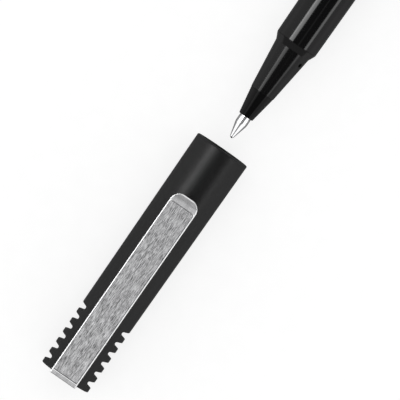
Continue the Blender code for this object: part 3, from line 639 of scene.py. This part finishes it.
def notched_rows():
    """Distances down the notched length, closest at the notches' edges."""
    downs = [0.6, 1.0]
    for k in range(NOTCH_COUNT):
        start = NOTCH_FIRST + k * NOTCH_PITCH
        end = start + NOTCH_MOUTH
        downs += list(np.arange(start - 0.10, start + 0.17, 0.016))
        downs += list(np.linspace(start + 0.19, start + 0.42, 8))
        downs += [start + 0.6]
        downs += list(np.linspace(end - 0.60, end - 0.30, 9))
        downs += list(np.arange(end - 0.29, end + 0.10, 0.018))
        downs += [end + 0.3, end + 0.62]
    downs = sorted(set(round(float(down), 4) for down in downs if down < NOTCHES_END))
    kept = [downs[0]]
    for down in downs[1:]:
        if down - kept[-1] > 0.009:
            kept.append(down)
    return kept


def cap_slots():
    """Cutters for the clip's leg and tang."""
    wide, narrow = CLIP_HALF + CLIP_GAP, TANG_HALF + CLIP_GAP
    leg = prism("leg_cut", [(-wide, 7.5), (-wide, 4.45), (-narrow, 4.45), (-narrow, 2.3),
                            (narrow, 2.3), (narrow, 4.45), (wide, 4.45), (wide, 7.5)],
                cap_x(0.55), cap_x(-1.2))
    tang = prism("tang_cut", [(-narrow, 2.55), (narrow, 2.55), (narrow, 3.58), (-narrow, 3.58)],
                 cap_x(2.80), cap_x(-1.3))
    return [leg, tang]


def make_cap_shell():
    angles = cap_angles()
    # stepped pocket in the crown, then the dome and its rim
    dome = [(dome_drop(r), r) for r in np.linspace(3.35, DOME_R, 8)]
    top = [(2.82, 0.0), (2.82, 2.65, 0.05), (1.05, 2.65, 0.04), (1.05, 3.35, 0.04),
           (*dome[0], 0.05), *dome[1:]]
    rim = [(DOME_DROP + RIM_R * (1 - math.cos(a)), DOME_R + RIM_R * math.sin(a))
           for a in np.radians([15, 30, 45, 60, 75, 90])]
    side = [(down, cap_radius(down, angles)) for down in notched_rows()]
    side += [(down, cap_cone(down))
             for down in (15.63, 15.66, 15.75, 16.0, 18, 22, 26, 31, 36, 41, 46, 51, 55)]
    # around the skirt's edge and up the inside
    inside = [(55.5, cap_cone(55.5)), (SKIRT_DOWN, cap_cone(SKIRT_DOWN) - 0.002, 0.30),
              (SKIRT_DOWN, 5.32, 0.12), (57.6, 5.20, 0.3), (27.0, 4.95), (16.30, 4.95, 0.05),
              (16.30, 3.80, 0.05), (3.30, 3.80, 0.10), (3.30, 0.0)]
    rows = fillet(from_crown(top), hold=0.04) + from_crown(rim + side)
    rows += fillet(from_crown(inside))
    verts, faces = revolve(rows, angles, False)
    ob = build("cap_shell_v", verts, faces, [CAP_PLASTIC])
    carve(ob, cap_slots())
    place(ob, "cap", "cap_shell")


def make_inner_cap():
    lip = section_radius(18.40) + 0.05
    outline = [(3.36, 0.0), (3.36, 3.76, 0.3), (16.36, 3.76), (16.36, 4.85, 0.08),
               (17.50, 4.85, 0.10), (17.50, 4.25, 0.12), (22.40, 4.25, 0.22),
               (22.40, lip, 0.10), (21.8, lip, 0.3), (18.1, 3.15, 0.6), (3.71, 3.15, 0.3),
               (3.71, 0.0)]
    ob = lathe("inner_cap_v", from_crown(outline), LINER_PLASTIC, closed=False, segments=144)
    place(ob, "cap", "inner_cap")


def make_crown_plug():
    outline = [(dome_drop(r), r) for r in np.linspace(0, 3.22, 8)]
    outline += [(0.13, 3.30, 0.06), (0.90, 3.30), (0.90, 2.60), (2.5, 2.60),
                (2.70, 2.40), (2.70, 0.0)]
    ob = lathe("crown_plug_v", from_crown(outline), CROWN_PLASTIC, closed=False,
               segments=144, hold=0.03)
    # a flat on the clip's side
    flat = [(-4, 2.66), (4, 2.66), (4, 5), (-4, 5)]
    carve(ob, [prism("flat_cut", flat, cap_x(3.4), cap_x(-1.0))])
    place(ob, "cap", "crown_plug")


# ---------------------------------------------------------------------------- clip
# The clip is swept from its free end up the cap, over a bend at the crown, down a leg
# towards the axis and round an elbow into a tang inside the cap.
CLIP_TOP, CLIP_UNDER = 7.29, 6.72       # z of the blade's two faces
CLIP_END = 46.0                         # free end, as a distance down
END_R = 2.2                             # corner radius in plan at the free end
LIFT_LENGTH = 1.8                       # length over which the free end lifts
RIM_WIDTH = 0.25                        # polished rim around the recessed panel
PANEL_START, PANEL_END, PANEL_DEPTH = 0.85, 43.7, 0.12
GROOVE_DEPTH = 0.05                     # extra depth along the panel's border
BEND_R, BEND_INNER_R = 0.20, 0.10
LEG_WALL, TANG_WALL = 0.45, 0.42
TANG_Z = 2.80                           # face of the tang nearest the axis
ELBOW_R = 0.55
EDGE_R = 0.10                           # rounding of the top's long edges
BUMP_DOWN, BUMP_LONG, BUMP_WIDE, BUMP_HEIGHT = 41.8, 1.725, 1.15, 0.45     # half sizes

# blade stations, as (start, stop, step) towards the crown, and the last few singly
BLADE_RUNS = [(43.75, 43.55, 0.0125), (43.55, 43.05, 0.025), (43.02, 42.0, 0.06),
              (42.0, 39.9, 0.12), (39.7, 2.0, 0.4), (1.9, 1.30, 0.08), (1.26, 1.03, 0.03),
              (1.02, 0.96, 0.02), (0.95, 0.80, 0.0125)]
BLADE_LAST = (0.78, 0.74, 0.70, 0.62, 0.54)
# (down on the outer face, down on the inner face) just before the bend
BEND_APPROACH = [(0.46, 0.475), (0.38, 0.47), (0.30, 0.465), (0.22, 0.46), (0.15, 0.455)]

# Cross-section points, as offsets inwards from the clip's long edge.
TOP_OFFSETS = [0.10, 0.14, 0.18, 0.22, 0.24, 0.25, 0.2625, 0.275, 0.2875, 0.30, 0.315, 0.335,
               0.355, 0.38, 0.405, 0.43, 0.455, 0.48, 0.505, 0.53, 0.56, 0.59, 0.62, 0.65,
               0.69, 0.73, 0.78, 0.83, 0.9, 1.3, 1.8, 2.4]
UNDER_OFFSETS = [0.62, 0.9, 1.3, 1.7]
UNDER_OFFSETS += [CLIP_HALF - y for y in (1.30, 1.15, 1.0, 0.85, 0.7, 0.55, 0.4, 0.25, 0.12)]
# inner wall of the side flange, as (offset, share of the flange's depth)
FLANGE_INSIDE = [(0.340, 1.0), (0.382, 0.975), (0.400, 0.92), (0.404, 0.5),
                 (0.408, 0.08), (0.425, 0.02), (0.47, 0.0)]

CLIP_MATERIALS = [CLIP_BRUSHED, CLIP_POLISHED, CLIP_SATIN, CLIP_UNDERSIDE, CLIP_GROOVE_PAINTED_SHADE]
PANEL, RIM, BAND, UNDERSIDE, GROOVE_PAINTED_SHADE = range(5)      # slots in that list

# outer and inner are (x, z); down is None past the start of the bend
Station = namedtuple("Station", "outer inner half_width flange down",
                     defaults=(CLIP_HALF, 0.0, None))


def is_full_width(station):
    return abs(station.half_width - CLIP_HALF) < 1e-6


def panel_distance(down, y):
    """Signed distance to the panel's outline, negative inside."""
    middle = (PANEL_START + PANEL_END) / 2
    corner = 0.12 if down < middle else 0.6
    along_x = abs(down - middle) - (PANEL_END - PANEL_START) / 2 + corner
    along_y = abs(y) - (CLIP_HALF - RIM_WIDTH) + corner
    outside = np.hypot(max(along_x, 0.0), max(along_y, 0.0))
    return float(min(max(along_x, along_y), 0.0) + outside - corner)


def blade_station(down, half_width=CLIP_HALF):
    t = max(0.0, (down - (CLIP_END - LIFT_LENGTH)) / LIFT_LENGTH)
    lift = 0.45 * t * t * (1.6 - 0.6 * t)
    # the side flanges fade in below the crown and out towards the free end
    fade_in = float(smooth_step((down - 0.80) / 1.1))
    fade_out = float(smooth_step((down - 37.0) / 5.8))
    x = cap_x(down)
    return Station((x, CLIP_TOP + lift), (x, CLIP_UNDER + lift + 0.05 * t), half_width,
                   0.75 * fade_in * (1 - fade_out), down)


def arc_station(centre, inner_centre, radius, inner_radius, direction, half_width):
    outer = (centre[0] + radius * direction[0], centre[1] + radius * direction[1])
    inner = (inner_centre[0] + inner_radius * direction[0],
             inner_centre[1] + inner_radius * direction[1])
    return Station(outer, inner, half_width)


def leg_stations():
    """The bend, the leg, its narrowing, the elbow and the tang."""
    face = CLIP_FACE_X
    stations = []
    centre = (face - BEND_R, CLIP_TOP - BEND_R)
    inner_centre = (face - LEG_WALL - BEND_INNER_R, CLIP_UNDER - BEND_INNER_R)
    for a in np.radians(np.linspace(90, 0, 20)):
        stations.append(arc_station(centre, inner_centre, BEND_R, BEND_INNER_R,
                                    (math.cos(a), math.sin(a)), CLIP_HALF))
    # (z, half width) down the leg, with rounded shoulders where it narrows
    leg = [(z, CLIP_HALF) for z in (6.2, 5.8, 5.4, 5.0, 4.80, 4.72)]
    leg += [(4.70 - 0.14 * math.sin(a), CLIP_HALF - 0.14 * (1 - math.cos(a)))
            for a in np.radians(np.linspace(12, 84, 7))]
    leg += [(4.44 + 0.11 * math.sin(a), TANG_HALF + 0.11 * (1 - math.cos(a)))
            for a in np.radians(np.linspace(84, 0, 8))]
    leg += [(z, TANG_HALF) for z in (4.3, 4.0, 3.7, 3.45)]
    stations += [Station((face, z), (face - LEG_WALL, z), half) for z, half in leg]
    centre = (face - ELBOW_R, TANG_Z + ELBOW_R)
    for a in np.radians(np.linspace(0, 90, 12)):
        wall = LEG_WALL + (TANG_WALL - LEG_WALL) * a / (math.pi / 2)
        stations.append(arc_station(centre, centre, ELBOW_R, ELBOW_R - wall,
                                    (math.cos(a), -math.sin(a)), TANG_HALF))
    # (down, half width, inset of both faces) along the tang
    tang = [(down, TANG_HALF, 0.0) for down in (0.9, 1.4, 1.9, 2.3, 2.5)]
    tang.append((2.60, TANG_HALF - 0.06, 0.04))
    stations += [Station((cap_x(down), TANG_Z + inset),
                         (cap_x(down), TANG_Z + TANG_WALL - inset), half)
                 for down, half, inset in tang]
    return stations


def clip_stations():
    stations = [blade_station(CLIP_END - END_R + END_R * math.sin(a),
                              CLIP_HALF - END_R + END_R * math.cos(a))
                for a in np.radians(np.linspace(90, 0, 26))]
    for start, stop, step in BLADE_RUNS:
        stations += [blade_station(float(down)) for down in np.arange(start, stop, -step)]
    stations += [blade_station(down) for down in BLADE_LAST]
    stations += [Station((cap_x(down), CLIP_TOP), (cap_x(inner), CLIP_UNDER), down=down)
                 for down, inner in BEND_APPROACH]
    return stations + leg_stations()


def across(offsets, side):
    """(offset, side) pairs from one long edge, over the middle, to the other."""
    return ([(offset, side) for offset in offsets] + [(CLIP_HALF, 0)]
            + [(offset, -side) for offset in reversed(offsets)])


def panel_depth(station, y):
    """How far the top is sunk: the panel, and the groove along its border."""
    if station.down is None or not is_full_width(station):
        return 0.0
    inside = -panel_distance(station.down, y)
    wall = float(smooth_step(inside / 0.05))
    border = float(1 - smooth_step((inside - 0.09) / 0.06))
    return PANEL_DEPTH * wall + GROOVE_DEPTH * wall * border


def bump_depth(station, y):
    """Height of the oval bump under the blade, near its free end."""
    if station.down is None:
        return 0.0
    oval = ((station.down - BUMP_DOWN) / BUMP_LONG) ** 2 + (y / BUMP_WIDE) ** 2
    if oval >= 1.0:
        return 0.0
    return BUMP_HEIGHT * math.sqrt(1 - oval) * (1 - oval) ** 0.35


def clip_side(wall, flange):
    """(offset, depth, label) from the top's edge round to the underside."""
    full = wall + flange
    run = [(EDGE_R * (1 - math.sin(a)), EDGE_R * (1 - math.cos(a)), "edge")
           for a in np.radians([18, 36, 54, 72, 90])]
    run += [(0.0, EDGE_R + (full - 0.16) * 0.5, "edge"), (0.0, full - 0.06, "edge"),
            (0.018, full - 0.018, "edge"), (0.06, full, "edge")]
    run += [(offset, wall + flange * share, "under") for offset, share in FLANGE_INSIDE]
    return run


def clip_ring(station):
    """One closed ring of points, with a label for each: top, edge or under."""
    outer, inner = np.array(station.outer), np.array(station.inner)
    wall = np.linalg.norm(inner - outer)
    inward = (inner - outer) / wall
    scale = station.half_width / CLIP_HALF
    ring, labels = [], []

    def add(y, depth, label):
        x, z = outer + inward * depth
        ring.append((x, y, z))
        labels.append(label)

    def y_at(offset, side):
        return side * (station.half_width - offset * scale)

    side_run = clip_side(wall, station.flange)
    for offset, side in across(TOP_OFFSETS, 1):
        y = y_at(offset, side)
        add(y, panel_depth(station, y), "top")
    for offset, depth, label in side_run:
        add(y_at(offset, -1), depth, label)
    for offset, side in across(UNDER_OFFSETS, -1):
        y = y_at(offset, side)
        add(y, wall + bump_depth(station, y), "under")
    for offset, depth, label in reversed(side_run):
        add(y_at(offset, 1), depth, label)
    return ring, labels


def clip_slot(first, second, labels, y):
    """Material slot of a face between two stations, y from the middle line."""
    if "under" in labels:
        return UNDERSIDE
    if "edge" in labels:
        return RIM
    within_rim = y < CLIP_HALF - RIM_WIDTH + 0.02
    if first.down is None or second.down is None:
        return BAND if within_rim else RIM
    down = (first.down + second.down) / 2
    if is_full_width(first):
        distance = panel_distance(down, y)
        # faces along the panel's border take the darker groove metal, a painted shade; it is
        # wider at the crown end, as the shadow under the band
        border = -0.19 if down < 2.0 and y < CLIP_HALF - 0.45 else -0.125
        if border < distance < -0.008:
            return GROOVE_PAINTED_SHADE
        if distance < -0.03:
            return PANEL
    if down < PANEL_START - 0.12 and within_rim:
        return BAND
    narrowest = min(first.half_width, second.half_width)
    if PANEL_END < down < CLIP_END - 0.30 and y < narrowest - RIM_WIDTH:
        return BAND
    return RIM


def make_clip():
    stations = clip_stations()
    verts, loops, faces, index = [], [], [], []
    for station in stations:
        ring, labels = clip_ring(station)
        loops.append(range(len(verts), len(verts) + len(ring)))
        verts += ring
    count = len(labels)
    for i in range(len(stations) - 1):
        faces += bridge(loops[i], loops[i + 1])
        for j in range(count):
            k = (j + 1) % count
            y = abs((verts[loops[i][j]][1] + verts[loops[i][k]][1]) / 2)
            index.append(clip_slot(stations[i], stations[i + 1], (labels[j], labels[k]), y))
    faces += [tuple(reversed(loops[0])), tuple(loops[-1])]
    index += [RIM, RIM]
    ob = build("clip_v", verts, faces, CLIP_MATERIALS, index, sharp=45.0)
    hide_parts("clip")
    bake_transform(ob)
    return ob


make_ball()
tip = make_tip()
make_nose()
make_section()
make_barrel()
make_tail_plug()
make_cap_shell()
make_inner_cap()
make_crown_plug()
clip = make_clip()

# CAD pieces that are kept as they are and only get a material
for node, material, slot in (("feed_rod", FEED_FIBRE, "feed_fibre"),
                             ("reservoir_core", RESERVOIR_FIBRE, "reservoir_fibre"),
                             ("reservoir_wrap", RESERVOIR_FILM, "reservoir_film")):
    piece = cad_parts[node]
    if not piece.material_slots:
        piece.data.materials.append(material)
    for material_slot in piece.material_slots:
        material_slot.material = material

# ---------------------------------------------------------------------------- stage
FLOOR_GAP = 0.03            # below the cap
FLOOR_GLOW = 0.765          # light added to the floor, except in reflections
# what shiny pieces see of the floor: (steepness of the view, brightness)
FLOOR_REFLECTION = [(0, .50), (.2, .44), (.45, .29), (.62, .20), (.9, .15), (1, .14)]


def floor_material():
    material = bpy.data.materials.new("floor_pale")
    material.use_nodes = True
    nodes = Nodes(material.node_tree)
    output = nodes.new("ShaderNodeOutputMaterial")
    coords = nodes.new("ShaderNodeTexCoord").outputs["Object"]
    grain = nodes.noise(coords, stretch=(300.0, 300.0, 300.0))
    diffuse = nodes.new("ShaderNodeBsdfDiffuse")
    pale = nodes.tint((1.0, 1.0, 1.0), nodes.remap(grain, to=(0.30, 0.32)))
    nodes.put(diffuse.inputs["Color"], pale)
    emission = nodes.new("ShaderNodeEmission")
    is_glossy = nodes.new("ShaderNodeLightPath").outputs["Is Glossy Ray"]
    glow = nodes.new("ShaderNodeMix")
    nodes.put(glow.inputs[0], is_glossy)
    nodes.put(glow.inputs[2], FLOOR_GLOW)
    nodes.put(glow.inputs[3], 0.0)
    nodes.put(emission.inputs["Strength"], glow.outputs[0])
    seen = nodes.new("ShaderNodeAddShader")
    nodes.put(seen.inputs[0], diffuse.outputs[0])
    nodes.put(seen.inputs[1], emission.outputs[0])
    reflected = nodes.new("ShaderNodeEmission")
    incoming = nodes.new("ShaderNodeSeparateXYZ")
    nodes.put(incoming.inputs[0], nodes.new("ShaderNodeNewGeometry").outputs["Incoming"])
    nodes.put(reflected.inputs["Strength"],
              nodes.curve(incoming.outputs["Z"], FLOOR_REFLECTION))
    mix = nodes.new("ShaderNodeMixShader")
    nodes.put(mix.inputs[0], is_glossy)
    nodes.put(mix.inputs[1], seen.outputs[0])
    nodes.put(mix.inputs[2], reflected.outputs[0])
    nodes.put(output.inputs[0], mix.outputs[0])
    return material


def make_floor():
    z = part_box("cap_shell")[0][2] / MM - FLOOR_GAP
    verts = [(-1500, -1500, z), (1700, -1500, z), (1700, 1500, z), (-1500, 1500, z)]
    ob = build("floor", verts, [(0, 1, 2, 3)], [floor_material()])
    # a single face may come out facing either way
    if ob.data.polygons[0].normal.z < 0:
        ob.data.flip_normals()


# The world in reflections.  AROUND tables are (degrees about X, from +Z towards +Y, level);
# ALONG tables are (size of the direction's X part, level).
TENT_AROUND = [(-180, .03), (-160, .05), (-150, .11), (-128, .27), (-95, .57), (-60, .62),
               (-20, .60), (60, .60), (95, .57), (128, .27), (150, .11), (160, .05), (180, .03)]
TENT_ALONG = [(0, 1), (.30, 1), (.36, .40), (.59, .42), (1, .56)]
CARD_AROUND = [(-60, 0), (-24, 0), (-21, 1), (47, 1), (50, 0), (70, 0)]
CARD_ALONG = [(0, .955), (.29, .93), (.41, .84), (.59, .35), (.74, 0), (1, 0)]
LEFT_AROUND = [(-60, 0), (-44, 0), (-42.5, 1), (-39, 1), (-36, .66), (-23, .46), (-20.5, 0),
               (20, 0)]
LEFT_ALONG = [(0, 8.2), (.11, 7.8), (.28, 2.1), (.36, .30), (.53, 0), (1, 0)]
RIGHT_AROUND = [(5, 0), (10, 0), (11.5, .13), (14, .13), (15.5, 0), (48, 0), (50, 1), (59, 1),
                (63, 0), (90, 0)]
RIGHT_ALONG = [(0, 2.7), (.11, 2.5), (.28, .62), (.36, .08), (.53, 0), (1, 0)]


def make_world():
    """A soft studio: pale tent, a strip light on each Y side and a dark card above.

    Only reflections see it; every other ray meets an even white.
    """
    world = bpy.data.worlds.new("studio")
    SCENE.world = world
    world.use_nodes = True
    nodes = Nodes(world.node_tree)
    output = nodes.new("ShaderNodeOutputWorld")
    background = nodes.new("ShaderNodeBackground")
    nodes.put(output.inputs[0], background.outputs[0])
    direction = nodes.new("ShaderNodeSeparateXYZ")
    nodes.put(direction.inputs[0], nodes.new("ShaderNodeTexCoord").outputs["Generated"])
    angle = nodes.math("ARCTAN2", direction.outputs["Y"], direction.outputs["Z"])
    angle = nodes.math("MULTIPLY", angle, 180.0 / math.pi)
    along_x = nodes.math("ABSOLUTE", direction.outputs["X"])

    def patch(around_stops, along_stops):
        around_level = nodes.curve(angle, around_stops)
        return nodes.math("MULTIPLY", around_level, nodes.curve(along_x, along_stops))

    tent = patch(TENT_AROUND, TENT_ALONG)
    card = patch(CARD_AROUND, CARD_ALONG)
    left = patch(LEFT_AROUND, LEFT_ALONG)
    right_strip = patch(RIGHT_AROUND, RIGHT_ALONG)
    studio = nodes.math("MULTIPLY", tent, nodes.math("SUBTRACT", 1.0, card))
    studio = nodes.math("ADD", nodes.math("ADD", studio, left), right_strip)
    mix = nodes.new("ShaderNodeMix")
    nodes.put(mix.inputs[0], nodes.new("ShaderNodeLightPath").outputs["Is Glossy Ray"])
    nodes.put(mix.inputs[2], 1.0)
    nodes.put(mix.inputs[3], studio)
    nodes.put(background.inputs["Strength"], mix.outputs[0])
    world.cycles.sampling_method = "NONE"


make_floor()
make_world()


# ---------------------------------------------------------------------------- lights
# Places and sizes are in metres.
def soft_box(name, location, aim, size, radiance, target):
    """A soft box that lights only the target, so that it can be set for bright metal alone."""
    data = bpy.data.lights.new(name, "AREA")
    data.shape = "RECTANGLE"
    data.size, data.size_y = size
    data.energy = radiance * math.pi * size[0] * size[1]
    ob = bpy.data.objects.new(name, data)
    SCENE.collection.objects.link(ob)
    z = (Vector(location) - Vector(aim)).normalized()
    x = Vector((1, 0, 0))
    x = (x - z * x.dot(z)).normalized()
    y = z.cross(x)
    turn = Matrix((x, y, z)).transposed().to_4x4()
    ob.matrix_world = Matrix.Translation(Vector(location)) @ turn
    ob.visible_camera = False
    group = bpy.data.collections.new(name + "_targets")
    group.objects.link(target)
    ob.light_linking.receiver_collection = group


CLIP_MID = (cap_x(20.0) * MM, 0.0, CLIP_TOP * MM)
TIP_MID = ((LIP_X - 2.5) * MM, 0.0, 0.0)

soft_box("clip_box", location=(CLIP_MID[0] + 0.02, 0.0, 0.60), aim=CLIP_MID,
         size=(0.50, 1.00), radiance=1.15, target=clip)
soft_box("clip_box_front", location=(CLIP_MID[0] + 0.62, 0.0, 0.45), aim=CLIP_MID,
         size=(0.70, 0.50), radiance=0.75, target=clip)


def around_tip(degrees, distance, forward):
    """A place around the tip: degrees from +Z towards +Y, forward the share along +X."""
    angle = math.radians(degrees)
    sideways = math.sqrt(1 - forward * forward)
    return (TIP_MID[0] + distance * forward, distance * sideways * math.sin(angle),
            distance * sideways * math.cos(angle))


# (name, degrees, distance, forward, size, radiance)
for name, degrees, distance, forward, size, radiance in (
        ("tip_box_left", -53, 0.5, 0.45, (0.9, 0.56), 1.20),
        ("tip_box_right", 55, 0.5, 0.45, (0.9, 0.60), 1.20),
        ("tip_box_middle", 0, 0.7, 0.0, (0.40, 0.22), 0.42),
        ("tip_box_front", 0, 0.7, 0.56, (0.40, 0.55), 0.22)):
    soft_box(name, location=around_tip(degrees, distance, forward), aim=TIP_MID,
             size=size, radiance=radiance, target=tip)

# ---------------------------------------------------------------------------- camera
TILT = math.radians(2.5)            # of the view, from straight down
AXIS_ANGLE = math.radians(55.2)     # of the pen's axis, from the view's horizontal
VIEW_WIDTH = 83.33333               # width seen at the height of the axis
# from the crown to the middle of the view
VIEW_RIGHT, VIEW_UP = 28.33333, 37.08333

backward = Vector((-math.sin(TILT), 0.0, math.cos(TILT)))
along = Vector((math.cos(TILT), 0.0, math.sin(TILT)))     # +X as the camera sees it
right = along * -math.cos(AXIS_ANGLE) + Vector((0, 1, 0)) * math.sin(AXIS_ANGLE)
up = backward.cross(right)
camera_data = bpy.data.cameras.new("camera")
camera_data.type = "PERSP"
camera_data.lens = 800.0
camera_data.sensor_width = 36.0
camera_data.clip_start, camera_data.clip_end = 0.01, 20.0
camera = bpy.data.objects.new("camera", camera_data)
SCENE.collection.objects.link(camera)
camera_distance = VIEW_WIDTH * camera_data.lens / camera_data.sensor_width * MM
target = Vector((CROWN_X * MM, 0, 0)) + right * VIEW_RIGHT * MM + up * VIEW_UP * MM
camera.matrix_world = (Matrix.Translation(target + backward * camera_distance)
                       @ Matrix((right, up, backward)).transposed().to_4x4())
SCENE.camera = camera
SCENE.view_settings.view_transform = "Standard"
